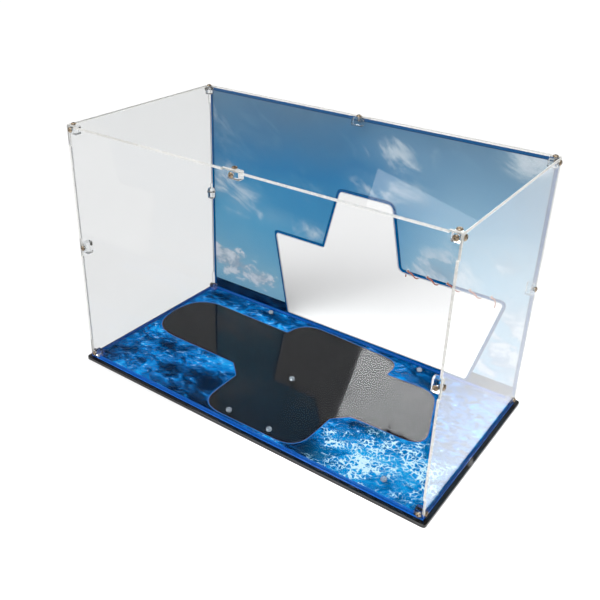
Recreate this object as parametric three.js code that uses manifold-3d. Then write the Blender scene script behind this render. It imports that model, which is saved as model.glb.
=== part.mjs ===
// A table-top display case for a large model: five clear sheets that interlock at their corners, clamped by
// clear blocks and button-head screws, standing on a gloss black base. A thick printed sheet lies on the base,
// and the printed back sheet has a boat-shaped cut-out with a cord laced along one of its edges.
// Millimetres, +Z up. The front faces -Y, and the origin is under the middle of the base.

import * as THREE from "three";
import { mergeVertices } from "three/addons/utils/BufferGeometryUtils.js";
import Module from "manifold-3d";

const wasm = await Module();
wasm.setup();

// Driving dimensions
const CASE = { width: 568, depth: 290, height: 368 }; // outside the sheets, without the base
const SHEET = 3;
const GAP = 0.3; // between pieces that touch
const BASE = { overhang: 6, thick: 5, radius: 5, chamfer: 0.5 };
const PLATE = { thick: 5, notch: 10.4 }; // the printed sheet on the base and its corner notches
const TAB = { corner: 14, middle: 28, side: 30 }; // lengths of the interlocking tabs
const BLOCK = { side: 10, length: 18, chamfer: 0.6 };
const SCREW = { inset: 6.4, shank: 3, reach: 4.5, head: 7.4, headHeight: 2.1, socket: 2.4, socketDepth: 1.2 };
const HOLE = { clearance: 3.6, tapped: 3.4, sides: 12 };
const STUD = { diameter: 8, height: 3.2, chamfer: 0.5, sides: 20 };
const CORD = { diameter: 2, turns: 5, first: 381.5, pitch: 31.7, hole: 4.4, above: 6.3, steps: 104, sides: 8 };

// The cut-out, from the case's left side and up from the base, with a radius at each corner
const DECK = 147;
const CUT_OUT = [
  { x: 141, z: DECK, r: 4 },
  { x: 234, z: DECK, r: 3 },
  { x: 257, z: 246, r: 5 },
  { x: 346, z: 246, r: 9 },
  { x: 366.5, z: DECK, r: 9 },
  { x: 526, z: DECK, r: 6 },
  { x: 489, z: 8, r: 3 },
  { x: 169.5, z: 8, r: 3 },
];

// Where the model's locating studs stand, from the case's front left corner
const STUDS = {
  stud_front_left: [261, 18],
  stud_front_middle: [330.5, 18],
  stud_front_right: [500.5, 27.5],
  stud_centre: [287.5, 132],
  stud_rear_left: [146.5, 269],
  stud_rear_right: [426.5, 269],
};

// Places worked out from them, still from the case's front left corner
const RIGHT = CASE.width;
const BACK = CASE.depth;
const TOP = CASE.height;
const MIDDLE_X = RIGHT / 2;
const MIDDLE_Z = TOP / 2 + BASE.thick / 2;
const LAP = SHEET + GAP; // what one sheet gives way to the sheet that covers its edge
const INSET = SCREW.inset;

const finishes = {
  black: { color: 0x0b0c0e, roughness: 0.08, metalness: 0 },
  clear: { color: 0xe4ebef, roughness: 0.04, metalness: 0 },
  sky: { color: 0x6f9fc4, roughness: 0.1, metalness: 0 },
  sea: { color: 0x0a4f8c, roughness: 0.06, metalness: 0 },
  nickel: { color: 0xa9a59c, roughness: 0.25, metalness: 1 },
  cord: { color: 0xb4634b, roughness: 0.8, metalness: 0 },
  stud: { color: 0xc9d6de, roughness: 0.3, metalness: 0 },
};

const part = new THREE.Group();
const placed = new THREE.Group(); // moves the case's own corner frame to the part's frame
placed.position.set(-RIGHT / 2, -BACK / 2, BASE.thick);
part.add(placed);

function add(name, geometry, finish, position = [0, 0, 0], turn = new THREE.Quaternion()) {
  const mesh = new THREE.Mesh(geometry, new THREE.MeshStandardMaterial(finishes[finish]));
  mesh.name = name;
  mesh.position.set(...position);
  mesh.quaternion.copy(turn);
  placed.add(mesh);
}

// Booleans

function toSolid(geometry) {
  const bare = geometry.clone();
  bare.deleteAttribute("normal");
  bare.deleteAttribute("uv");
  const merged = mergeVertices(bare, 1e-4);
  const vertProperties = new Float32Array(merged.attributes.position.array);
  const triVerts = new Uint32Array(merged.index.array);
  return new wasm.Manifold(new wasm.Mesh({ numProp: 3, vertProperties, triVerts }));
}

function fromSolid(solid) {
  const mesh = solid.getMesh();
  const geometry = new THREE.BufferGeometry();
  geometry.setAttribute("position", new THREE.BufferAttribute(mesh.vertProperties, 3));
  geometry.setIndex(new THREE.BufferAttribute(mesh.triVerts, 1));
  geometry.computeVertexNormals();
  return geometry;
}

function cut(geometry, tools) {
  return fromSolid(tools.reduce((solid, tool) => solid.subtract(toSolid(tool)), toSolid(geometry)));
}

// Outlines

function shapeOf(points) {
  const corners = points.map(([x, y]) => new THREE.Vector2(x, y));
  return new THREE.Shape(THREE.ShapeUtils.isClockWise(corners) ? corners.reverse() : corners);
}

function circle(x, y, diameter) {
  return new THREE.Path().absarc(x, y, diameter / 2, 0, 2 * Math.PI, true);
}

// A closed path through corners {x, z, r}, each rounded by a short curve that starts and ends r from it
function roundedPath(corners, path = new THREE.Path()) {
  const at = (i) => corners[(i + corners.length) % corners.length];
  const toward = (a, b) => {
    const reach = a.r / Math.hypot(b.x - a.x, b.z - a.z);
    return [a.x + (b.x - a.x) * reach, a.z + (b.z - a.z) * reach];
  };
  corners.forEach((corner, i) => {
    const start = toward(corner, at(i - 1));
    if (i) path.lineTo(...start);
    else path.moveTo(...start);
    path.quadraticCurveTo(corner.x, corner.z, ...toward(corner, at(i + 1)));
  });
  path.closePath();
  return path;
}

function rectangle(width, depth, radius) {
  const corners = [[0, 0], [width, 0], [width, depth], [0, depth]].map(([x, z]) => ({ x, z, r: radius }));
  return roundedPath(corners, new THREE.Shape());
}

function sheetGeometry(outline, thick = SHEET) {
  return new THREE.ExtrudeGeometry(outline, { depth: thick, bevelEnabled: false, curveSegments: HOLE.sides / 2 });
}

// The sheets. A front or back outline is drawn in x and z, a side's in y and z, and the top's in x and y.

const upright = new THREE.Quaternion().setFromAxisAngle(new THREE.Vector3(1, 0, 0), Math.PI / 2);
const sideways = new THREE.Quaternion().setFromRotationMatrix(
  new THREE.Matrix4().makeBasis(
    new THREE.Vector3(0, 1, 0),
    new THREE.Vector3(0, 0, 1),
    new THREE.Vector3(1, 0, 0),
  ),
);

// Heights where the front and back sheets reach over the ends of the side sheets
const TAB_SPANS = [
  [GAP, TAB.side],
  [MIDDLE_Z - TAB.middle / 2, MIDDLE_Z + TAB.middle / 2],
  [TOP - TAB.side, TOP],
];

function faceOutline() {
  const [low, middle, high] = TAB_SPANS;
  const left = [
    [0, low[0]],
    [0, low[1]],
    [LAP, low[1]],
    [LAP, middle[0]],
    [0, middle[0]],
    [0, middle[1]],
    [LAP, middle[1]],
    [LAP, high[0]],
    [0, high[0]],
    [0, TOP],
    [TAB.corner, TOP],
    [TAB.corner, TOP - LAP],
    [MIDDLE_X - TAB.middle / 2, TOP - LAP],
    [MIDDLE_X - TAB.middle / 2, TOP],
  ];
  const right = left.map(([x, z]) => [RIGHT - x, z]).reverse();
  return shapeOf([...left, ...right]);
}

function sideOutline() {
  const lap = TAB_SPANS.map(([a, b]) => [a - GAP, b + GAP]);
  const front = [
    [LAP, GAP],
    [LAP, lap[0][1]],
    [0, lap[0][1]],
    [0, lap[1][0]],
    [LAP, lap[1][0]],
    [LAP, lap[1][1]],
    [0, lap[1][1]],
    [0, lap[2][0]],
    [LAP, lap[2][0]],
    [LAP, TOP - LAP],
  ];
  const back = front.map(([y, z]) => [BACK - y, z]).reverse();
  return shapeOf([...front, ...back]);
}

function topOutline() {
  const corner = TAB.corner + GAP;
  const middle = TAB.middle / 2 + GAP;
  const front = [
    [0, LAP],
    [corner, LAP],
    [corner, 0],
    [MIDDLE_X - middle, 0],
    [MIDDLE_X - middle, LAP],
    [MIDDLE_X + middle, LAP],
    [MIDDLE_X + middle, 0],
    [RIGHT - corner, 0],
    [RIGHT - corner, LAP],
    [RIGHT, LAP],
  ];
  const back = front.map(([x, y]) => [x, BACK - y]).reverse();
  return shapeOf([...front, ...back]);
}

function faceScrews() {
  const places = [[MIDDLE_X, TOP - INSET]];
  for (const x of [INSET, RIGHT - INSET]) for (const z of [INSET, MIDDLE_Z, TOP - INSET]) places.push([x, z]);
  return places;
}

function sideScrews() {
  return [INSET, BACK - INSET].flatMap((y) => [INSET, MIDDLE_Z, TOP - INSET].map((z) => [y, z]));
}

function topScrews() {
  return [INSET, MIDDLE_X, RIGHT - INSET].flatMap((x) => [INSET, BACK - INSET].map((y) => [x, y]));
}

function drilled(outline, places) {
  outline.holes.push(...places.map(([a, b]) => circle(a, b, HOLE.clearance)));
  return outline;
}

const cordHoles = Array.from({ length: CORD.turns }, (_, i) => [CORD.first + i * CORD.pitch, DECK + CORD.above]);

function addSheets() {
  add("front_panel", sheetGeometry(drilled(faceOutline(), faceScrews())), "clear", [0, SHEET, 0], upright);
  const back = drilled(faceOutline(), faceScrews());
  back.holes.push(roundedPath(CUT_OUT), ...cordHoles.map(([x, z]) => circle(x, z, CORD.hole)));
  add("back_panel", sheetGeometry(back), "sky", [0, BACK, 0], upright);
  for (const [name, x] of [["left_panel", 0], ["right_panel", RIGHT - SHEET]]) {
    add(name, sheetGeometry(drilled(sideOutline(), sideScrews())), "clear", [x, 0, 0], sideways);
  }
  add("top_panel", sheetGeometry(drilled(topOutline(), topScrews())), "clear", [0, 0, TOP - SHEET]);
}

// The base and the printed sheet on it

function addBase() {
  const edge = BASE.chamfer;
  const outline = rectangle(RIGHT + 2 * (BASE.overhang - edge), BACK + 2 * (BASE.overhang - edge), BASE.radius);
  const slab = new THREE.ExtrudeGeometry(outline, {
    depth: BASE.thick - 2 * edge,
    bevelThickness: edge,
    bevelSize: edge,
    bevelSegments: 1,
    curveSegments: 6,
  });
  add("base_plate", slab, "black", [edge - BASE.overhang, edge - BASE.overhang, edge - BASE.thick]);
}

function addPrintedPlate() {
  const near = LAP + GAP;
  const notch = near + PLATE.notch;
  const quarter = [
    [near, notch],
    [notch, notch],
    [notch, near],
  ];
  const front = [...quarter, ...quarter.map(([x, y]) => [RIGHT - x, y]).reverse()];
  const back = front.map(([x, y]) => [x, BACK - y]).reverse();
  add("sea_plate", sheetGeometry(shapeOf([...front, ...back]), PLATE.thick), "sea", [0, 0, GAP]);
}

function addStuds() {
  const r = STUD.diameter / 2;
  const profile = [
    [0, 0],
    [r, 0],
    [r, STUD.height - STUD.chamfer],
    [r - STUD.chamfer, STUD.height],
    [0, STUD.height],
  ];
  const geometry = new THREE.LatheGeometry(profile.map(([x, y]) => new THREE.Vector2(x, y)), STUD.sides);
  for (const [name, [x, y]] of Object.entries(STUDS)) {
    add(name, geometry, "stud", [x, y, PLATE.thick + 2 * GAP], upright);
  }
}

// Blocks and screws. A screw's own axis is +Y, pointing out of the case, with its sheet's face at y = 0.

function screwGeometry() {
  const { shank, reach, head, headHeight, socket, socketDepth } = SCREW;
  const r = head / 2;
  const profile = [
    [0, -reach],
    [shank / 2, -reach],
    [shank / 2, GAP],
    [r, GAP],
    [r, GAP + 0.35 * headHeight],
    [0.8 * r, GAP + 0.8 * headHeight],
    [0.55 * r, GAP + headHeight],
    [0, GAP + headHeight],
  ];
  const body = new THREE.LatheGeometry(profile.map(([x, y]) => new THREE.Vector2(x, y)), HOLE.sides);
  const key = new THREE.CylinderGeometry(socket / Math.sqrt(3), socket / Math.sqrt(3), 2 * socketDepth, 6);
  key.translate(0, GAP + headHeight, 0);
  return cut(body, [key]);
}

const OUT = {
  front: new THREE.Vector3(0, -1, 0),
  back: new THREE.Vector3(0, 1, 0),
  left: new THREE.Vector3(-1, 0, 0),
  right: new THREE.Vector3(1, 0, 0),
  top: new THREE.Vector3(0, 0, 1),
};

const screw = screwGeometry();

// The point where a connector's screw axes meet, at the inset from each outer face that it clamps
function crossing({ sides }) {
  const x = sides.includes("left") ? INSET : sides.includes("right") ? RIGHT - INSET : MIDDLE_X;
  const y = sides.includes("front") ? INSET : BACK - INSET;
  return new THREE.Vector3(x, y);
}

function addScrew(name, meeting, side) {
  const turn = new THREE.Quaternion().setFromUnitVectors(new THREE.Vector3(0, 1, 0), OUT[side]);
  add(name, screw, "nickel", meeting.clone().addScaledVector(OUT[side], INSET).toArray(), turn);
}

function blockGeometry(size, centre, meeting, sides) {
  const c = BLOCK.chamfer;
  const outline = rectangle(size.x - 2 * c, size.y - 2 * c, c);
  const body = new THREE.ExtrudeGeometry(outline, {
    depth: size.z - 2 * c,
    bevelThickness: c,
    bevelSize: c,
    bevelSegments: 1,
    curveSegments: 1,
  });
  body.translate(centre.x - size.x / 2 + c, centre.y - size.y / 2 + c, centre.z - size.z / 2 + c);
  const deep = SCREW.reach + GAP; // from the outer face to the bottom of the tapped hole
  const holes = sides.map((side) => {
    const tool = new THREE.CylinderGeometry(HOLE.tapped / 2, HOLE.tapped / 2, deep, HOLE.sides);
    tool.translate(0, -deep / 2, 0);
    tool.applyQuaternion(new THREE.Quaternion().setFromUnitVectors(new THREE.Vector3(0, 1, 0), OUT[side]));
    return tool.translate(...meeting.clone().addScaledVector(OUT[side], INSET).toArray());
  });
  return cut(body, holes);
}

function addConnector(connector) {
  const { name, z, long, sides } = connector;
  const meeting = crossing(connector).setZ(z);
  const size = new THREE.Vector3(BLOCK.side, BLOCK.side, BLOCK.side);
  if (long) size[long] = BLOCK.length;
  const centre = meeting.clone();
  const shift = LAP + BLOCK.side / 2 - INSET; // from the screws' crossing to the block's centre, inwards
  for (const side of sides) centre.addScaledVector(OUT[side], -shift);
  if (z === INSET) centre.z = GAP + BLOCK.side / 2;
  add(`block_${name}`, blockGeometry(size, centre, meeting, sides), "clear");
  for (const side of sides) addScrew(`screw_${name}_${side}`, meeting, side);
}

function addConnectors() {
  for (const depth of ["front", "back"]) {
    for (const width of ["left", "right"]) {
      const sides = [depth, width];
      const corner = `${depth}_${width}`;
      addConnector({ name: `bottom_${corner}`, z: INSET, sides });
      addConnector({ name: `middle_${corner}`, z: MIDDLE_Z, long: "z", sides });
      addConnector({ name: `top_${corner}`, z: TOP - INSET, sides: [...sides, "top"] });
    }
    addConnector({ name: `top_${depth}_middle`, z: TOP - INSET, long: "x", sides: [depth, "top"] });
  }
}

// The cord, laced through the holes above the cut-out's right-hand deck: out of each hole, down across the
// front of the sheet, under its edge and up behind it to the next hole. Both ends hang free.
function cordPath() {
  const r = CORD.diameter / 2;
  const ahead = BACK - SHEET - GAP - r;
  const behind = BACK + GAP + r;
  const under = DECK - GAP - r;
  const points = [new THREE.Vector3(CORD.first - 4.5, behind + 0.6, DECK - 6.5)];
  points.push(new THREE.Vector3(CORD.first - 3.5, behind + 0.4, DECK + 1));
  cordHoles.forEach(([x, z], i) => {
    points.push(new THREE.Vector3(x - 0.6, behind, z - 0.4));
    points.push(new THREE.Vector3(x, BACK - SHEET / 2, z));
    points.push(new THREE.Vector3(x + 1.2, ahead + 0.2, z - 0.2));
    if (i === CORD.turns - 1) return;
    points.push(new THREE.Vector3(x + 8, ahead - 0.3, z - 2.2));
    points.push(new THREE.Vector3(x + 13.5, ahead - 0.1, DECK - 0.4));
    points.push(new THREE.Vector3(x + 16, BACK - SHEET / 2, under - 0.5));
    points.push(new THREE.Vector3(x + 18.5, behind + 0.1, DECK - 0.4));
    points.push(new THREE.Vector3(x + 25.5, behind + 0.3, DECK + 4));
  });
  const last = CORD.first + (CORD.turns - 1) * CORD.pitch;
  points.push(new THREE.Vector3(last + 5.5, ahead - 0.2, DECK + 5));
  points.push(new THREE.Vector3(last + 7.6, ahead, DECK));
  points.push(new THREE.Vector3(last + 7.4, ahead + 0.2, DECK - 8));
  return new THREE.CatmullRomCurve3(points, false, "centripetal");
}

function addCord() {
  const r = CORD.diameter / 2;
  const ring = Array.from({ length: CORD.sides }, (_, i) => (2 * Math.PI * i) / CORD.sides);
  const section = shapeOf(ring.map((a) => [r * Math.cos(a), r * Math.sin(a)]));
  const options = { steps: CORD.steps, extrudePath: cordPath(), curveSegments: 1 };
  add("lacing_cord", new THREE.ExtrudeGeometry(section, options), "cord");
}

addBase();
addPrintedPlate();
addStuds();
addSheets();
addConnectors();
addCord();

export default part;
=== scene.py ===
"""A display case: five clear acrylic sheets clamped by clear blocks and button-head screws, on a gloss black
base, with a printed sea under the model's place and a printed sky with a boat-shaped cut-out behind it."""

import math

import bmesh
import bpy
from mathutils import Euler, Matrix, Vector


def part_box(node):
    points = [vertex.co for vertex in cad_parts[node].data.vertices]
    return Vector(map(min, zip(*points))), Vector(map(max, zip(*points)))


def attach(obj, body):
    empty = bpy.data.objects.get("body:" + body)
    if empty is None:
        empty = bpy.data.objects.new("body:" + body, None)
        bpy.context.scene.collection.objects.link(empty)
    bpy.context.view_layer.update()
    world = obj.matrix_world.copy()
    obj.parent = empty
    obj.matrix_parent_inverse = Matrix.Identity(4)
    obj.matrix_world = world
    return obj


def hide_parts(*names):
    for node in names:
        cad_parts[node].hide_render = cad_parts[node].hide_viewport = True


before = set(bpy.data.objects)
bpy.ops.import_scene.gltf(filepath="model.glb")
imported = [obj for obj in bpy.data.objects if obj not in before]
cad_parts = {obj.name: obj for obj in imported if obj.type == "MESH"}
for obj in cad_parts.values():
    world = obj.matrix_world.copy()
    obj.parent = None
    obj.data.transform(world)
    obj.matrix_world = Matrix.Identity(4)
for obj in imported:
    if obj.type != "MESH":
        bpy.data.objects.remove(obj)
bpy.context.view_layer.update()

bl_info = {
    "name": "Display case",
    "version": (1, 0, 0),
    "blender": (4, 5, 0),
    "location": "View3D > Sidebar > Display case",
    "description": "Gives the packed display case its acrylic, prints, screws, cord and studio",
    "category": "Object",
}

MM = 0.001

# The case's own corner: the outer faces of its left and front sheets, at the top of the base
CORNER = Vector(
    (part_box("left_panel")[0].x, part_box("front_panel")[0].y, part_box("base_plate")[1].z)
)
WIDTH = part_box("right_panel")[1].x - CORNER.x
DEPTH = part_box("back_panel")[1].y - CORNER.y
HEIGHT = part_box("back_panel")[1].z - CORNER.z
PLATE_TOP = (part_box("sea_plate")[1].z - CORNER.z) / MM

STUDS = [n for n in sorted(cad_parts) if n.startswith("stud_")]
BLOCKS = [n for n in sorted(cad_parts) if n.startswith("block_")]
SCREWS = [n for n in sorted(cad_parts) if n.startswith("screw_")]

# The cut-out's corners, in mm from the case's corner, each with the length of its rounding
DECK = 147
CUT_OUT = [
    (141, DECK, 4),
    (234, DECK, 3),
    (257, 246, 5),
    (346, 246, 9),
    (366.5, DECK, 9),
    (526, DECK, 6),
    (489, 8, 3),
    (169.5, 8, 3),
]

SKY_LAP = 3.9  # the sky print stops this far inside its sheet's sides and top, in mm
HORIZON = 23.5  # the height of the sky print's strip of sea, in mm
NOTCH = 10.4  # the side of the square notches in the sea sheet's corners, in mm
NOTCH_BORDER = 3.6  # how far the sea print's border runs round a notch, in mm
FAR = 99  # a margin beyond any border, in mm

# The unprinted window in the sea, where the model's hull stands, in the same way
WINDOW = [
    (7, 243, 58),
    (202, 240, 3),
    (207, 283, 38),
    (390, 275, 26),
    (390, 235, 3),
    (470, 238, 26),
    (513, 118, 36),
    (400, 114, 3),
    (379, 93, 3),
    (378, 13, 34),
    (212, 11, 38),
    (212, 95, 3),
    (187, 119, 3),
    (7, 119, 58),
]

# The clouds of the printed sky: centre x and z, half width and half height in mm, and strength
CLOUDS = [
    (14, 72, 70, 40, 1.0),
    (48, 66, 80, 40, 1.0),
    (110, 52, 60, 30, 0.8),
    (22, 212, 46, 50, 0.9),
    (62, 186, 60, 40, 0.7),
    (130, 172, 70, 26, 0.5),
    (205, 168, 60, 24, 0.5),
    (345, 322, 80, 44, 0.6),
    (338, 270, 90, 30, 0.55),
    (536, 354, 60, 40, 1.0),
    (433, 167, 80, 44, 1.2),
    (10, 340, 90, 90, 0.25),
    (474, 212, 60, 34, 0.6),
    (524, 210, 60, 44, 0.95),
    (560, 130, 80, 60, 1.0),
    (537, 60, 80, 70, 0.9),
]

# Foam on the printed sea: centre x and y, half width and half depth in mm, and strength
FOAM = [
    (462, 36, 90, 60, 1.0),
    (500, 88, 90, 56, 1.0),
    (436, 66, 60, 40, 1.0),
    (535, 50, 60, 60, 0.9),
]

# The dark troughs of the printed sea, in the same way
TROUGHS = [
    (20, 20, 70, 60, 0.9),
    (70, 92, 70, 24, 0.9),
    (130, 48, 40, 22, 0.7),
    (190, 50, 60, 40, 1.0),
    (230, 10, 80, 20, 1.0),
    (40, 270, 110, 30, 1.1),
    (150, 268, 160, 30, 0.9),
    (300, 284, 160, 16, 0.8),
    (480, 270, 120, 40, 0.6),
    (385, 22, 50, 34, 1.0),
    (440, 108, 44, 18, 0.8),
]


def case_point(x, y, z):
    """A place in mm from the case's corner, as a point in the scene."""
    return CORNER + Vector((x, y, z)) * MM


# ---------------------------------------------------------------- settings


class CaseSizes(bpy.types.PropertyGroup):
    """Sizes that change how the pieces are drawn, within the space the frame gives them."""

    print_inset: bpy.props.FloatProperty(
        name="Print inset",
        description="How far a print stops short of its sheet's edge",
        default=0.3 * MM,
        unit="LENGTH",
        subtype="DISTANCE",
    )
    film: bpy.props.FloatProperty(
        name="Ink film",
        description="Thickness of a print's ink with its white backing",
        default=0.1 * MM,
        unit="LENGTH",
        subtype="DISTANCE",
    )
    sky_border: bpy.props.FloatProperty(
        name="Sky border",
        description="Width of the deep blue border of the sky print",
        default=4.5 * MM,
        unit="LENGTH",
        subtype="DISTANCE",
    )
    cord_diameter: bpy.props.FloatProperty(
        name="Cord diameter",
        description="Thickness of the laced cord",
        default=2 * MM,
        unit="LENGTH",
        subtype="DISTANCE",
    )
    cord_twist: bpy.props.FloatProperty(
        name="Cord twist",
        description="Length of cord in which its strands go once round",
        default=7 * MM,
        unit="LENGTH",
        subtype="DISTANCE",
    )


def colour(name, description, default):
    """A colour property."""
    return bpy.props.FloatVectorProperty(
        name=name, description=description, default=default, subtype="COLOR", size=3, min=0, max=1
    )


class CaseColours(bpy.types.PropertyGroup):
    """Colours of the case's finishes."""

    base_black: colour("Base black", "The gloss black base", (0.003, 0.0032, 0.004))
    sky_high: colour("High sky", "The sky at the top of the back sheet", (0.095, 0.205, 0.33))
    sky_low: colour("Low sky", "The sky over the horizon", (0.26, 0.53, 0.7))
    cloud: colour("Cloud", "The lit side of the clouds", (0.76, 0.82, 0.87))
    sea_deep: colour("Deep sea", "The sea's troughs", (0.0, 0.008, 0.03))
    sea_bright: colour("Bright sea", "The sea's lit faces", (0.0, 0.2, 0.6))
    foam: colour("Foam", "Foam and spray", (0.6, 0.84, 0.93))
    border: colour("Print border", "The saturated border of both prints", (0.0, 0.095, 0.29))
    edge: colour("Sawn edge", "The frosted edges of the clear sheets", (0.76, 0.75, 0.72))
    # painted glow: the sawn edges at the foot are coloured blue for the sea print's light carried through the
    # sheet
    painted_foot_glow: colour("Sawn edge at the foot", "The same, next to the printed sea", (0.0, 0.14, 0.62))
    # painted shade and reflection: the nickel colour is darkened and browned
    nickel: colour("Nickel", "The screws", (0.36, 0.29, 0.21))
    cord: colour("Cord", "The laced cord", (0.45, 0.085, 0.03))


class StudioSettings(bpy.types.PropertyGroup):
    """The studio around the case."""

    lens: bpy.props.FloatProperty(
        name="Lens", description="Focal length of the camera", default=45.97, unit="CAMERA"
    )
    camera_place: bpy.props.FloatVectorProperty(
        name="Camera place",
        description="Where the camera stands",
        default=(0.5305, -0.7867, 0.6703),
        subtype="TRANSLATION",
        size=3,
    )
    sky_light: bpy.props.FloatProperty(
        name="Room light", description="Brightness of the room's pale walls", default=0.45, min=0
    )
    softbox: bpy.props.FloatProperty(
        name="Softbox", description="Power of the softbox behind the case", default=11.5, unit="POWER"
    )
    table_glow: bpy.props.FloatProperty(
        name="Table glow", description="Brightness of the lit table at the case's right", default=0.95, min=0
    )
    key_light: bpy.props.FloatProperty(
        name="Key light", description="Strength of the broad overhead light", default=2.4, min=0
    )


# ---------------------------------------------------------------- finishes


class Finish:
    """Builds the nodes of one material."""

    def __init__(self, name):
        self.material = bpy.data.materials.new(name)
        self.material.use_nodes = True
        self.tree = self.material.node_tree
        self.tree.nodes.clear()
        self.output = self.tree.nodes.new("ShaderNodeOutputMaterial")

    def feed(self, socket, value):
        """Links a socket to another, or sets its own value."""
        if isinstance(value, bpy.types.NodeSocket):
            self.tree.links.new(value, socket)
        elif hasattr(value, "__len__") and len(value) == 3 and socket.type == "RGBA":
            socket.default_value = (*value, 1)
        else:
            socket.default_value = value

    def node(self, kind, inputs=None, **settings):
        """A node with its settings, and its inputs by name or number."""
        made = self.tree.nodes.new("ShaderNode" + kind)
        for key, value in settings.items():
            setattr(made, key, value)
        for key, value in (inputs or {}).items():
            self.feed(made.inputs[key], value)
        return made

    def math(self, operation, a, b=0.0, clamp=False):
        """A number worked out from one or two others."""
        return self.node("Math", {0: a, 1: b}, operation=operation, use_clamp=clamp).outputs[0]

    def blend(self, factor, a, b, kind="MIX"):
        """Colour a with colour b laid on it."""
        made = self.node("Mix", data_type="RGBA", blend_type=kind)
        for key, value in zip((0, 6, 7), (factor, a, b)):
            self.feed(made.inputs[key], value)
        return made.outputs[2]

    def ramp(self, factor, *stops):
        """A colour or grey read from stops of (position, colour)."""
        made = self.node("ValToRGB", {0: factor})
        made.color_ramp.interpolation = "LINEAR"
        elements = made.color_ramp.elements
        while len(elements) < len(stops):
            elements.new(1)
        for element, (position, value) in zip(elements, stops):
            element.position = position
            element.color = (*value, 1) if hasattr(value, "__len__") else (value, value, value, 1)
        return made.outputs[0]

    def step(self, value, low, high):
        """0 below low and 1 above high, smooth between; the other way round if low is the greater."""
        made = self.node("MapRange", {0: value}, interpolation_type="SMOOTHSTEP", clamp=True)
        ends = (low, high, 0, 1) if low < high else (high, low, 1, 0)
        for index, end in enumerate(ends, 1):
            made.inputs[index].default_value = end
        return made.outputs[0]

    def place(self, centre=(0, 0, 0), size=(1, 1, 1), turn=(0, 0, 0)):
        """Object coordinates from a centre, in units of a size."""
        coordinates = self.node("TexCoord").outputs["Object"]
        return self.node(
            "Mapping",
            {"Vector": coordinates, "Location": centre, "Scale": size, "Rotation": turn},
            vector_type="TEXTURE",
        ).outputs[0]

    def case_mm(self):
        """Object coordinates in mm from the case's corner, as three numbers."""
        return self.node("SeparateXYZ", {0: self.place(CORNER, (MM, MM, MM))}).outputs

    def noise(self, vector, scale, detail=5, roughness=0.5, distortion=0.0):
        """Fractal noise, as a grey."""
        made = self.node(
            "TexNoise",
            {"Vector": vector, "Scale": scale, "Detail": detail, "Roughness": roughness},
            noise_type="FBM",
        )
        made.inputs["Distortion"].default_value = distortion
        return made.outputs[0]

    def patches(self, spots, centre_of, in_plane):
        """The strongest of several soft round patches (a, b, half width, half height, strength)."""
        strongest = 0.0
        for a, b, wide, high, strength in spots:
            halves = iter((wide * MM, high * MM))
            size = [next(halves) if used else 1 for used in in_plane]
            spot = self.node(
                "TexGradient", {0: self.place(centre_of(a, b), size)}, gradient_type="SPHERICAL"
            )
            strongest = self.math("MAXIMUM", strongest, self.math("MULTIPLY", spot.outputs[1], strength))
        return strongest

    def ink(self, tone):
        """Ink bonded to the sheet in front of it, with no shine of its own."""
        return self.node(
            "BsdfPrincipled", {"Base Color": tone, "Roughness": 0.5, "Specular IOR Level": 0.0}
        ).outputs[0]

    def surface(self, shader):
        """Puts a shader on the surface, and returns the material."""
        self.tree.links.new(shader, self.output.inputs["Surface"])
        return self.material


def clear_finish(name, tint, ior, colours, across=None):
    """Clear cast acrylic, which lets lamps shine through to what is behind it. The lower its ior, the
    fainter its reflections. A sheet's faces point along the axis named by across, 0 to 2. Its sawn edges
    are frosted, and at the foot they are painted blue, a painted glow for the sea print's light carried
    through the sheet."""
    made = Finish(name)
    shader = made.node(
        "BsdfPrincipled", {"Base Color": tint, "Roughness": 0.0, "IOR": ior, "Transmission Weight": 1.0}
    )
    clear = shader.outputs[0]
    if across is not None:
        normal = made.node("NewGeometry").outputs["True Normal"]
        along = made.math("ABSOLUTE", made.node("SeparateXYZ", {0: normal}).outputs[across])
        streaks = made.noise(made.place(), 500, detail=3)
        frost = made.math("MULTIPLY", made.math("LESS_THAN", along, 0.5), made.step(streaks, -0.6, 0.9))
        # below the sea print's top, the sawn edges take the painted blue glow instead of the frosted white
        above_painted_glow = made.step(made.case_mm()[2], PLATE_TOP + 0.1, PLATE_TOP + 0.6)
        tone = made.blend(above_painted_glow, colours.painted_foot_glow, colours.edge)
        edge = made.node("BsdfPrincipled", {"Base Color": tone, "Roughness": 0.35})
        clear = made.node("MixShader", {0: frost, 1: clear, 2: edge.outputs[0]}).outputs[0]
    shadow = made.node("LightPath").outputs["Is Shadow Ray"]
    see_through = made.node("BsdfTransparent", {0: (0.97, 0.985, 0.99)})
    mixed = made.node("MixShader", {0: shadow, 1: clear, 2: see_through.outputs[0]})
    return made.surface(mixed.outputs[0])


def nickel_finish(colours):
    """Nickel plate with fine turning marks, its colour darkened and browned as painted shade and dark
    reflection, with darker mottling of painted shade.
    """
    made = Finish("nickel_plate")
    grain = made.noise(made.place(), 900, detail=3)
    # painted shade: darker brown mottling stands in for the screws' dark sockets
    painted_shade_mottle = made.noise(made.place(), 160, detail=2)
    tone = made.blend(made.step(painted_shade_mottle, 0.35, 0.7), colours.nickel, (0.17, 0.12, 0.08))
    rough = made.node("MapRange", {0: grain, 3: 0.16, 4: 0.34}).outputs[0]
    bump = made.node("Bump", {"Height": grain, "Distance": 0.00002, "Strength": 0.4})
    shader = made.node(
        "BsdfPrincipled",
        {"Base Color": tone, "Metallic": 1.0, "Roughness": rough, "Normal": bump.outputs[0]},
    )
    return made.surface(shader.outputs[0])


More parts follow.
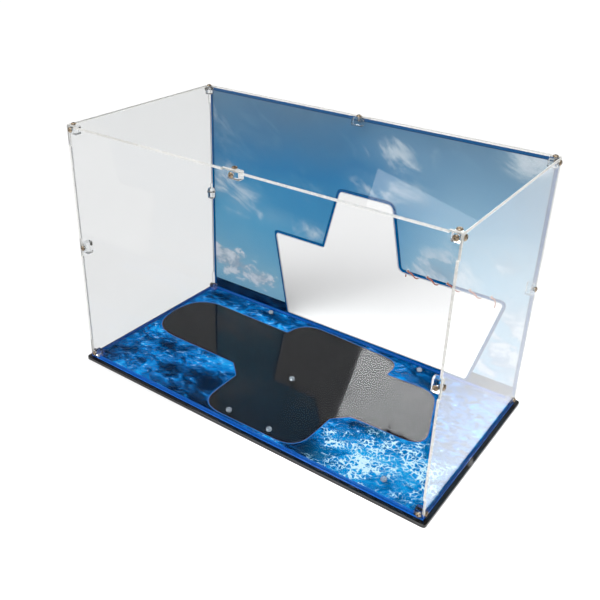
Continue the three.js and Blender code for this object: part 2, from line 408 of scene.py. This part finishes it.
def stud_finish():
    """Clear plastic with a milky bloom."""
    made = Finish("stud_plastic")
    bloom = made.noise(made.place(), 300, detail=2)
    milk = made.node(
        "BsdfPrincipled", {"Base Color": (0.55, 0.62, 0.68), "Roughness": 0.25, "IOR": 1.5}
    )
    clear = made.node(
        "BsdfPrincipled",
        {"Base Color": (0.9, 0.95, 0.97), "Roughness": 0.05, "IOR": 1.5, "Transmission Weight": 1.0},
    )
    share = made.node("MapRange", {0: bloom, 3: 0.2, 4: 0.5}).outputs[0]
    mixed = made.node("MixShader", {0: share, 1: clear.outputs[0], 2: milk.outputs[0]})
    return made.surface(mixed.outputs[0])


def base_finish(colours):
    """Gloss black cast acrylic with the faintest dust and haze."""
    made = Finish("gloss_black")
    dust = made.noise(made.place(), 1400, detail=1)
    haze = made.noise(made.place(), 9, detail=4)
    tone = made.blend(made.step(dust, 0.74, 0.8), colours.base_black, (0.02, 0.021, 0.023))
    rough = made.node("MapRange", {0: haze, 3: 0.02, 4: 0.07}).outputs[0]
    shader = made.node("BsdfPrincipled", {"Base Color": tone, "Roughness": rough, "IOR": 1.49})
    return made.surface(shader.outputs[0])


def backing_finish():
    """The white ink behind a print."""
    made = Finish("white_ink")
    mottle = made.noise(made.place(), 600, detail=2)
    tone = made.blend(mottle, (0.72, 0.73, 0.74), (0.8, 0.8, 0.81))
    shader = made.node("BsdfPrincipled", {"Base Color": tone, "Roughness": 0.55})
    return made.surface(shader.outputs[0])


def sky_finish(colours, sizes):
    """The printed sky: a gradient with soft cloud banks, over a strip of sea, inside a deep blue border."""
    made = Finish("printed_sky_art")
    x, _, z = made.case_mm()
    drift = made.noise(made.place(size=(1, 1, 0.6)), 3.4, detail=3)
    level = made.math("ADD", z, made.math("MULTIPLY", made.math("SUBTRACT", drift, 0.5), 170))
    tone = made.ramp(
        made.math("DIVIDE", level, 400),
        (0.1, colours.sky_low),
        (0.34, (0.1, 0.38, 0.62)),
        (0.6, (0.035, 0.225, 0.46)),
        (0.9, colours.sky_high),
    )
    cover = made.patches(CLOUDS, lambda a, b: case_point(a, DEPTH / MM, b), (1, 0, 1))
    bright = made.math("MULTIPLY", made.step(x, 290, 470), made.step(z, 430, 170))
    tone = made.blend(made.math("MULTIPLY", bright, 0.9), tone, (0.44, 0.66, 0.8))
    billow = made.noise(made.place(size=(1.5, 1, 1)), 34, detail=10, roughness=0.62, distortion=0.3)
    slant = made.place(size=(2.2, 1, 1), turn=(0, 0.5, 0))
    wisp = made.noise(slant, 22, detail=9, roughness=0.66, distortion=0.6)
    high = made.step(z, 110, 150)
    grain = made.blend(high, billow, wisp)
    tone = made.blend(made.math("MULTIPLY", made.step(wisp, 0.5, 0.85), 0.3), tone, (0.35, 0.6, 0.75))
    body = made.math("ADD", grain, made.math("MULTIPLY", cover, 0.3))
    soft = made.step(body, 0.56, 0.86)
    crisp = made.step(body, 0.58, 0.7)
    cloud = made.blend(high, crisp, made.math("MULTIPLY", soft, 0.85))
    cloud = made.math("MULTIPLY", cloud, made.step(cover, 0.02, 0.3))
    tone = made.blend(made.math("MULTIPLY", cover, 0.45), tone, (0.38, 0.58, 0.7))
    shade = made.blend(made.step(grain, 0.42, 0.58), (0.36, 0.48, 0.6), colours.cloud)
    tone = made.blend(cloud, tone, shade)
    waves = made.noise(made.place(size=(3.5, 1, 1)), 150, detail=5, roughness=0.6)
    water = made.ramp(
        waves, (0.36, (0.0, 0.006, 0.022)), (0.58, (0.001, 0.022, 0.08)), (0.72, (0.006, 0.08, 0.2))
    )
    tone = made.blend(made.step(z, HORIZON, HORIZON - 1.5), tone, water)
    hole = made.node("Attribute", attribute_name="margin").outputs["Fac"]
    sides = made.math("MINIMUM", x, made.math("SUBTRACT", WIDTH / MM, x))
    ends = made.math("MINIMUM", made.math("ADD", z, SKY_LAP), made.math("SUBTRACT", HEIGHT / MM, z))
    outer = made.math("SUBTRACT", made.math("MINIMUM", sides, ends), SKY_LAP)
    margin = made.math("MINIMUM", hole, outer)
    width = sizes.sky_border / MM
    tone = made.blend(made.step(margin, width + 0.6, width + 0.3), tone, (0.004, 0.02, 0.07))
    tone = made.blend(made.step(margin, width, width - 0.4), tone, colours.border)
    return made.surface(made.ink(tone))


def sea_finish(colours):
    """The printed sea from above: dark troughs, bright faces, sparkle, and foam towards the front right."""
    made = Finish("printed_sea_art")
    x, y, _ = made.case_mm()
    long_waves = made.place(size=(1.5, 1, 1), turn=(0, 0, -0.4))
    swell = made.noise(long_waves, 11, detail=5, roughness=0.6, distortion=0.6)
    short_waves = made.place(size=(1.5, 1, 1), turn=(0, 0, 0.3))
    chop = made.noise(short_waves, 95, detail=8, roughness=0.7, distortion=0.8)
    dark = made.patches(TROUGHS, lambda a, b: case_point(a, b, 0), (1, 1, 0))
    mixed = made.math("ADD", made.math("MULTIPLY", swell, 0.42), made.math("MULTIPLY", chop, 0.58))
    mixed = made.math("SUBTRACT", mixed, made.math("MULTIPLY", dark, 0.13))
    tone = made.ramp(
        mixed,
        (0.38, colours.sea_deep),
        (0.46, (0.0, 0.07, 0.24)),
        (0.52, colours.sea_bright),
        (0.58, (0.01, 0.4, 0.85)),
        (0.66, (0.05, 0.55, 0.9)),
    )
    flecks = made.noise(made.place(size=(2.4, 1, 1), turn=(0, 0, 0.45)), 260, detail=4, roughness=0.7)
    glint = made.math("MULTIPLY", made.step(flecks, 0.59, 0.65), made.step(mixed, 0.43, 0.53))
    tone = made.blend(made.math("MULTIPLY", glint, 0.85), tone, (0.45, 0.8, 0.95))
    cover = made.patches(FOAM, lambda a, b: case_point(a, b, 0), (1, 1, 0))
    jitter = made.node("TexNoise", {"Vector": made.place(), "Scale": 60.0, "Detail": 6.0}).outputs[1]
    bent = made.blend(0.016, made.place(), jitter, "ADD")
    lace = made.node("TexVoronoi", {"Vector": bent, "Scale": 150.0}, feature="DISTANCE_TO_EDGE").outputs[0]
    churn = made.noise(made.place(size=(1.3, 1, 1)), 40, detail=9, roughness=0.72, distortion=0.4)
    patchy = made.math("SUBTRACT", churn, 0.53)
    reach = made.math("ADD", made.math("MULTIPLY", cover, 0.13), patchy)
    body = made.math("SUBTRACT", reach, lace)
    amount = made.math("MULTIPLY", made.step(body, -0.05, 0.04), made.step(cover, 0.0, 0.25))
    tone = made.blend(made.math("MULTIPLY", made.step(cover, 0.0, 0.5), 0.4), tone, (0.0, 0.2, 0.5))
    tone = made.blend(amount, tone, made.blend(made.step(body, -0.02, 0.06), (0.1, 0.48, 0.74), colours.foam))
    margin = made.node("Attribute", attribute_name="margin").outputs["Fac"]
    tone = made.blend(made.step(margin, 1.9, 1.5), tone, (0.0, 0.17, 0.58))
    tone = made.blend(made.step(margin, 0.6, 0.4), tone, (0.16, 0.07, 0.03))
    across = made.math("MINIMUM", x, made.math("SUBTRACT", WIDTH / MM, x))
    along = made.math("MINIMUM", y, made.math("SUBTRACT", DEPTH / MM, y))
    inner = NOTCH + NOTCH_BORDER
    beyond = [made.math("MAXIMUM", made.math("SUBTRACT", d, inner), 0) for d in (across, along)]
    corner = made.math("SQRT", made.math("ADD", *(made.math("POWER", d, 2) for d in beyond)))
    edge = made.math("MINIMUM", made.math("MINIMUM", across, along), made.math("ADD", corner, NOTCH_BORDER))
    for limit, line in ((6.2, (0.0, 0.07, 0.26)), (4.6, (0.001, 0.008, 0.03)), (3.2, colours.border)):
        tone = made.blend(made.step(edge, limit + 0.2, limit - 0.2), tone, line)
    return made.surface(made.ink(tone))


def cord_finish(colours):
    """Waxed twisted cord, with fine fibres along its strands, and painted shade darkening the grooves between
    them.
    """
    made = Finish("waxed_cord")
    fibre = made.noise(made.place(), 1500, detail=4, roughness=0.6)
    tone = made.blend(made.step(fibre, 0.3, 0.7), colours.cord, (0.62, 0.2, 0.09))
    painted_groove_shade = made.node("Attribute", attribute_name="painted_groove_shade").outputs["Fac"]
    # painted shade: the grooves between the strands are darkened
    tone = made.blend(made.math("MULTIPLY", painted_groove_shade, 0.85), tone, (0.16, 0.03, 0.012))
    bump = made.node("Bump", {"Height": fibre, "Distance": 0.0001, "Strength": 0.6})
    shader = made.node(
        "BsdfPrincipled",
        {"Base Color": tone, "Roughness": 0.6, "Sheen Weight": 0.3, "Normal": bump.outputs[0]},
    )
    return made.surface(shader.outputs[0])


def give_finish(node, material):
    """Puts a finish on one of the frame's own nodes."""
    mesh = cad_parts[node].data
    mesh.materials.clear()
    mesh.materials.append(material)


# ---------------------------------------------------------------- shapes


def new_piece(name, shape, body, slot, *materials):
    """Turns a finished bmesh into a piece that rides on a body."""
    mesh = bpy.data.meshes.new(name)
    shape.to_mesh(mesh)
    shape.free()
    for material in materials:
        mesh.materials.append(material)
    made = bpy.data.objects.new(name, mesh)
    bpy.context.scene.collection.objects.link(made)
    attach(made, body)
    return made


def rounded(corners, grow, segments=6):
    """Points round an outline of corners (a, b, rounding) in mm, moved outwards by grow."""
    points = [Vector(c[:2]) for c in corners]
    count = len(points)
    area = sum(points[i - 1].cross(points[i]) for i in range(count))
    turned = math.copysign(1, area)
    out = []
    for i in range(count):
        before, here, after = points[i - 1], points[i], points[(i + 1) % count]
        a, b = (here - before).normalized(), (after - here).normalized()
        normal_a, normal_b = (Vector((v.y, -v.x)) * turned for v in (a, b))
        bend = a.cross(b) * turned
        moved = here + (normal_a + normal_b) * grow / (1 + normal_a.dot(normal_b))
        slide = math.tan(math.acos(max(-1, min(1, a.dot(b)))) / 2) * grow
        radius = max(0.3, corners[i][2] + (slide if bend > 0 else -slide))
        start, end = moved - a * radius, moved + b * radius
        for step in range(segments + 1):
            t = step / segments
            out.append(start * (1 - t) ** 2 + moved * 2 * t * (1 - t) + end * t**2)
    return out


def next_loop(shape, verts, edges, places):
    """Draws a loop's edges out into a band that ends at new places, and returns the new loop."""
    made = bmesh.ops.extrude_edge_only(shape, edges=edges)["geom"]
    fresh = {g for g in made if isinstance(g, bmesh.types.BMVert)}
    drawn = []
    for vert, place in zip(verts, places):
        drawn.append(next(e.other_vert(vert) for e in vert.link_edges if e.other_vert(vert) in fresh))
        drawn[-1].co = place
    return drawn, [g for g in made if isinstance(g, bmesh.types.BMEdge) and set(g.verts) <= fresh]


def printed_film(outer, hole, steps, to_scene, front, thick):
    """A thin printed film with one hole. Each vertex knows its margin, the distance from the hole's edge
    in mm. The art is material 0, and the backing and sides are material 1."""
    shape = bmesh.new()
    margin = shape.verts.layers.float.new("margin")
    innermost = []
    for corners, distances in ((outer, (FAR,)), (hole, steps)):
        edges = None
        for distance in distances:
            places = [to_scene(p) for p in rounded(corners, 0 if distance == FAR else distance)]
            if edges is None:
                verts = [shape.verts.new(p) for p in places]
                edges = [shape.edges.new((verts[i - 1], verts[i])) for i in range(len(verts))]
            else:
                verts, edges = next_loop(shape, verts, edges, places)
            for v in verts:
                v[margin] = distance
        innermost += edges
    bmesh.ops.triangle_fill(shape, use_beauty=True, use_dissolve=False, edges=innermost, normal=front)
    flat = shape.faces[:]
    bmesh.ops.recalc_face_normals(shape, faces=flat)
    if flat[0].normal.dot(front) < 0:
        bmesh.ops.reverse_faces(shape, faces=flat)
    made = bmesh.ops.extrude_face_region(shape, geom=flat, use_keep_orig=True)
    bmesh.ops.translate(
        shape, verts=[g for g in made["geom"] if isinstance(g, bmesh.types.BMVert)], vec=-front * thick
    )
    bmesh.ops.recalc_face_normals(shape, faces=shape.faces)
    for face in shape.faces:
        face.material_index = 0 if face.normal.dot(front) > 0.5 else 1
    return shape


def smooth_path(points, pieces):
    """Places on a smooth curve through points, with a number of pieces between each two."""
    ends = [points[0] * 2 - points[1], *points, points[-1] * 2 - points[-2]]
    out = [points[0]]
    for p0, p1, p2, p3 in zip(ends, ends[1:], ends[2:], ends[3:]):
        d0, d1, d2 = (max((b - a).length ** 0.5, 1e-6) for a, b in ((p0, p1), (p1, p2), (p2, p3)))
        t1 = ((p1 - p0) / d0 - (p2 - p0) / (d0 + d1) + (p2 - p1) / d1) * d1
        t2 = ((p2 - p1) / d1 - (p3 - p1) / (d1 + d2) + (p3 - p2) / d2) * d1
        for i in range(1, pieces + 1):
            t = i / pieces
            out.append(
                p1 * (2 * t**3 - 3 * t**2 + 1) + p2 * (3 * t**2 - 2 * t**3)
                + t1 * (t**3 - 2 * t**2 + t) + t2 * (t**3 - t**2)
            )
    return out


# ---------------------------------------------------------------- operators


class CASE_OT_studio(bpy.types.Operator):
    """Sets up the pale floor, the soft lights and the camera"""

    bl_idname = "display_case.studio"
    bl_label = "Studio"

    def execute(self, context):
        settings = context.scene.case_studio
        self.add_floor(context, settings)
        self.add_lights(context, settings)
        self.add_camera(context, settings)
        context.scene.view_settings.view_transform = "Standard"
        return {"FINISHED"}

    def add_floor(self, context, settings):
        """A pale floor that glows softly at the case's right and in front of it."""
        shape = bmesh.new()
        bmesh.ops.create_circle(shape, cap_ends=True, segments=96, radius=14)
        mesh = bpy.data.meshes.new("studio_floor")
        shape.to_mesh(mesh)
        shape.free()
        floor = bpy.data.objects.new("studio_floor", mesh)
        context.scene.collection.objects.link(floor)
        made = Finish("studio_white")
        tone = made.blend(made.noise(made.place(), 3, detail=2), (0.91, 0.91, 0.91), (0.93, 0.93, 0.93))
        glow = 0.03
        for centre, size, strength in (
            ((0.38, 0, 0), (0.5, 0.75, 1), settings.table_glow),
            ((0, -0.5, 0), (1, 0.6, 1), 0.1),
        ):
            spot = made.node("TexGradient", {0: made.place(centre, size)}, gradient_type="SPHERICAL")
            glow = made.math("ADD", glow, made.math("MULTIPLY", spot.outputs[1], strength))
        shader = made.node(
            "BsdfPrincipled", {"Base Color": tone, "Roughness": 1.0, "Specular IOR Level": 0.0}
        )
        made.feed(shader.inputs["Emission Color"], (1, 1, 1))
        made.feed(shader.inputs["Emission Strength"], glow)
        mesh.materials.append(made.surface(shader.outputs[0]))

    def add_lights(self, context, settings):
        """An even room, a broad key light overhead, and a softbox that the base reflects."""
        world = bpy.data.worlds.new("studio_room")
        world.use_nodes = True
        background = world.node_tree.nodes["Background"]
        background.inputs[0].default_value = (1, 1, 1, 1)
        background.inputs[1].default_value = settings.sky_light
        context.scene.world = world
        key = bpy.data.lights.new("key_light", "SUN")
        key.energy = settings.key_light
        key.angle = math.radians(60)
        lamp = bpy.data.objects.new("key_light", key)
        lamp.rotation_euler = Euler((math.radians(28), 0, math.radians(-20)))
        context.scene.collection.objects.link(lamp)
        panel = bpy.data.lights.new("rear_softbox", "AREA")
        panel.shape = "RECTANGLE"
        panel.size, panel.size_y = 1.1, 0.7
        panel.energy = settings.softbox
        lamp = bpy.data.objects.new("rear_softbox", panel)
        lean, upright = (Matrix.Rotation(math.radians(a), 4, axis) for a, axis in ((-14, "Y"), (-90, "X")))
        lamp.matrix_world = Matrix.Translation((-0.24, 1.5, 1.451)) @ lean @ upright
        lamp.visible_camera = False
        lamp.visible_diffuse = False
        context.scene.collection.objects.link(lamp)

    def add_camera(self, context, settings):
        """The main camera, above the case's front right corner."""
        data = bpy.data.cameras.new("main_camera")
        data.lens = settings.lens
        data.sensor_width = 36
        data.shift_x, data.shift_y = 0.0478, -0.0458
        data.clip_start = 0.01
        camera = bpy.data.objects.new("main_camera", data)
        context.scene.collection.objects.link(camera)
        azimuth, elevation, roll = 36.29, 27.28, 0.87  # in degrees
        turn = Matrix.Rotation(math.radians(azimuth), 4, "Z")
        turn @= Matrix.Rotation(math.radians(90 - elevation), 4, "X")
        turn @= Matrix.Rotation(math.radians(roll), 4, "Z")
        camera.matrix_world = Matrix.Translation(settings.camera_place) @ turn
        context.scene.camera = camera


class CASE_OT_clear_sheets(bpy.types.Operator):
    """Finishes the clear sheets, the printed sheets' acrylic and the corner blocks"""

    bl_idname = "display_case.clear_sheets"
    bl_label = "Clear sheets and blocks"

    def execute(self, context):
        for name, nodes, tint, ior, across in (
            ("left_acrylic", ("left_panel",), (0.92, 0.925, 0.925), 1.2, 0),
            ("right_acrylic", ("right_panel",), (0.9, 0.91, 0.915), 1.34, 0),
            ("front_acrylic", ("front_panel",), (0.82, 0.825, 0.83), 1.08, 1),
            ("back_acrylic", ("back_panel",), (0.95, 0.955, 0.96), 1.1, 1),
            ("top_acrylic", ("top_panel",), (0.82, 0.825, 0.825), 1.045, 2),
            ("sea_acrylic", ("sea_plate",), (0.95, 0.955, 0.96), 1.06, 2),
            ("block_acrylic", BLOCKS, (0.93, 0.94, 0.94), 1.18, None),
        ):
            finish = clear_finish(name, tint, ior, context.scene.case_colours, across)
            for node in nodes:
                give_finish(node, finish)
        return {"FINISHED"}


class CASE_OT_base(bpy.types.Operator):
    """Finishes the gloss black base"""

    bl_idname = "display_case.base"
    bl_label = "Base"

    def execute(self, context):
        give_finish("base_plate", base_finish(context.scene.case_colours))
        return {"FINISHED"}


class CASE_OT_sky_print(bpy.types.Operator):
    """Lays the printed sky into the back sheet, just ahead of its rear face"""

    bl_idname = "display_case.sky_print"
    bl_label = "Sky print"

    def execute(self, context):
        sizes = context.scene.case_sizes
        foot = 0.6
        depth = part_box("back_panel")[1].y - 2 * sizes.film
        right, top = WIDTH / MM - SKY_LAP, HEIGHT / MM - SKY_LAP
        outer = [(x, z, 0.3) for x, z in ((SKY_LAP, foot), (right, foot), (right, top), (SKY_LAP, top))]

        def to_scene(p):
            return Vector((CORNER.x + p.x * MM, depth, CORNER.z + p.y * MM))

        shape = printed_film(
            outer, CUT_OUT, (0.3, 4.5, 5.3, 6.5), to_scene, Vector((0, -1, 0)), sizes.film
        )
        finish = sky_finish(context.scene.case_colours, sizes)
        new_piece("sky_print", shape, "cover", "printed_sky", finish, backing_finish())
        return {"FINISHED"}


class CASE_OT_sea_print(bpy.types.Operator):
    """Lays the printed sea into its sheet, just above the underside"""

    bl_idname = "display_case.sea_print"
    bl_label = "Sea print"

    def execute(self, context):
        sizes = context.scene.case_sizes
        low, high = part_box("sea_plate")
        height = low.z + 2 * sizes.film
        inset = sizes.print_inset / MM
        half_wide, half_deep = ((high.x - low.x) / 2 / MM - inset, (high.y - low.y) / 2 / MM - inset)
        outer = []
        for sx, sy in ((-1, -1), (1, -1), (1, 1), (-1, 1)):
            x, y = sx * half_wide, sy * half_deep
            step_x, step_y = x - sx * NOTCH, y - sy * NOTCH
            corner = [(x, step_y, 0.3), (step_x, step_y, 0.3), (step_x, y, 0.3)]
            outer += corner if sx * sy > 0 else corner[::-1]
        outer = [(x + WIDTH / 2 / MM, y + DEPTH / 2 / MM, r) for x, y, r in outer]

        def to_scene(p):
            return Vector((CORNER.x + p.x * MM, CORNER.y + p.y * MM, height))

        shape = printed_film(outer, WINDOW, (0, 0.8, 2.6, 3.2), to_scene, Vector((0, 0, 1)), sizes.film)
        finish = sea_finish(context.scene.case_colours)
        new_piece("sea_print", shape, "base", "printed_sea", finish, backing_finish())
        return {"FINISHED"}


class CASE_OT_screws(bpy.types.Operator):
    """Finishes the button-head screws"""

    bl_idname = "display_case.screws"
    bl_label = "Screws"

    def execute(self, context):
        finish = nickel_finish(context.scene.case_colours)
        for node in SCREWS:
            give_finish(node, finish)
        return {"FINISHED"}


class CASE_OT_studs(bpy.types.Operator):
    """Finishes the locating studs"""

    bl_idname = "display_case.studs"
    bl_label = "Locating studs"

    def execute(self, context):
        finish = stud_finish()
        for node in STUDS:
            give_finish(node, finish)
        return {"FINISHED"}


class CASE_OT_cord(bpy.types.Operator):
    """Laces the cord through the holes over the cut-out's right-hand deck"""

    bl_idname = "display_case.cord"
    bl_label = "Laced cord"

    def route(self):
        """The cord's centreline: out of each hole, down across the front of the sheet, under its edge and up
        behind it to the next hole. Both ends hang free."""
        ahead, behind = 285.7, 291.3  # clear of the sheet's front and rear faces
        hole, middle, under = 153.3, 288.5, 145.7
        first, pitch, turns = 381.5, 31.7, 5
        points = [(first - 4.5, behind + 0.6, DECK - 6.5), (first - 3.5, behind + 0.4, DECK + 1)]
        for turn in range(turns):
            x = first + turn * pitch
            points += [(x - 0.6, behind, hole - 0.4), (x, middle, hole), (x + 1.2, ahead + 0.2, hole - 0.2)]
            if turn < turns - 1:
                points += [
                    (x + 8, ahead - 0.3, hole - 2.2),
                    (x + 13.5, ahead - 0.1, DECK - 0.4),
                    (x + 16, middle, under - 0.5),
                    (x + 18.5, behind + 0.1, DECK - 0.4),
                    (x + 25.5, behind + 0.3, DECK + 4),
                ]
        points += [(x + 5.5, ahead - 0.2, DECK + 5), (x + 7.6, ahead, DECK), (x + 7.4, ahead + 0.2, DECK - 8)]
        return smooth_path([case_point(*p) for p in points], 12)

    def twisted(self, path, sizes):
        """Three strands twisted together along a path, drawn out ring by ring."""
        strands, sides, radius = 3, 24, sizes.cord_diameter / 2
        shape = bmesh.new()
        # how deep each vertex lies in a groove between strands, read by the cord's finish as painted shade
        painted_groove_shade = shape.verts.layers.float.new("painted_groove_shade")
        ring = bmesh.ops.create_circle(shape, segments=sides, radius=radius)["verts"]
        edges = shape.edges[:]
        angles = [math.atan2(v.co.y, v.co.x) for v in ring]
        side, gone, before = Vector((0, 0, 1)), 0.0, None
        for i, here in enumerate(path):
            ahead = (path[min(i + 1, len(path) - 1)] - path[max(i - 1, 0)]).normalized()
            side = (side - ahead * side.dot(ahead)).normalized()
            other = ahead.cross(side)
            gone += (here - before).length if before else 0.0
            before = here
            turn = 2 * math.pi * gone / sizes.cord_twist
            places, depths = [], []
            for angle in angles:
                dip = 0.5 - 0.5 * math.cos(strands * (angle - turn))
                reach = radius * (1 - 0.2 * dip**2)
                places.append(here + (side * math.cos(angle) + other * math.sin(angle)) * reach)
                depths.append(dip**2)
            if i:
                ring, edges = next_loop(shape, ring, edges, places)
            for v, place, depth in zip(ring, places, depths):
                v.co, v[painted_groove_shade] = place, depth
        bmesh.ops.holes_fill(shape, edges=[e for e in shape.edges if e.is_boundary])
        bmesh.ops.recalc_face_normals(shape, faces=shape.faces)
        for face in shape.faces:
            face.smooth = True
        return shape

    def execute(self, context):
        sizes = context.scene.case_sizes
        path = self.route()
        finish = cord_finish(context.scene.case_colours)
        cord = new_piece("twisted_cord", self.twisted(path, sizes), "cover", "cord", finish)
        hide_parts("lacing_cord")
        length = sum((b - a).length for a, b in zip(path, path[1:]))
        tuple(path[0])
        return {"FINISHED"}


class CASE_PT_pieces(bpy.types.Panel):
    """Lists the case's pieces, sizes and colours"""

    bl_idname = "CASE_PT_pieces"
    bl_label = "Display case"
    bl_space_type = "VIEW_3D"
    bl_region_type = "UI"
    bl_category = "Display case"

    def draw(self, context):
        for operator in OPERATORS:
            self.layout.operator(operator.bl_idname)
        for group in ("case_sizes", "case_colours", "case_studio"):
            settings = getattr(context.scene, group)
            box = self.layout.box()
            for name in settings.__annotations__:
                box.prop(settings, name)


OPERATORS = (
    CASE_OT_studio,
    CASE_OT_clear_sheets,
    CASE_OT_base,
    CASE_OT_sky_print,
    CASE_OT_sea_print,
    CASE_OT_screws,
    CASE_OT_studs,
    CASE_OT_cord,
)
GROUPS = {"case_sizes": CaseSizes, "case_colours": CaseColours, "case_studio": StudioSettings}
CLASSES = (*GROUPS.values(), *OPERATORS, CASE_PT_pieces)


def register():
    for made in CLASSES:
        bpy.utils.register_class(made)
    for name, group in GROUPS.items():
        setattr(bpy.types.Scene, name, bpy.props.PointerProperty(type=group))


def unregister():
    for name in GROUPS:
        delattr(bpy.types.Scene, name)
    for made in reversed(CLASSES):
        bpy.utils.unregister_class(made)


def main():
    register()
    for operator in OPERATORS:
        family, name = operator.bl_idname.split(".")
        getattr(getattr(bpy.ops, family), name)()


if __name__ == "__main__":
    main()
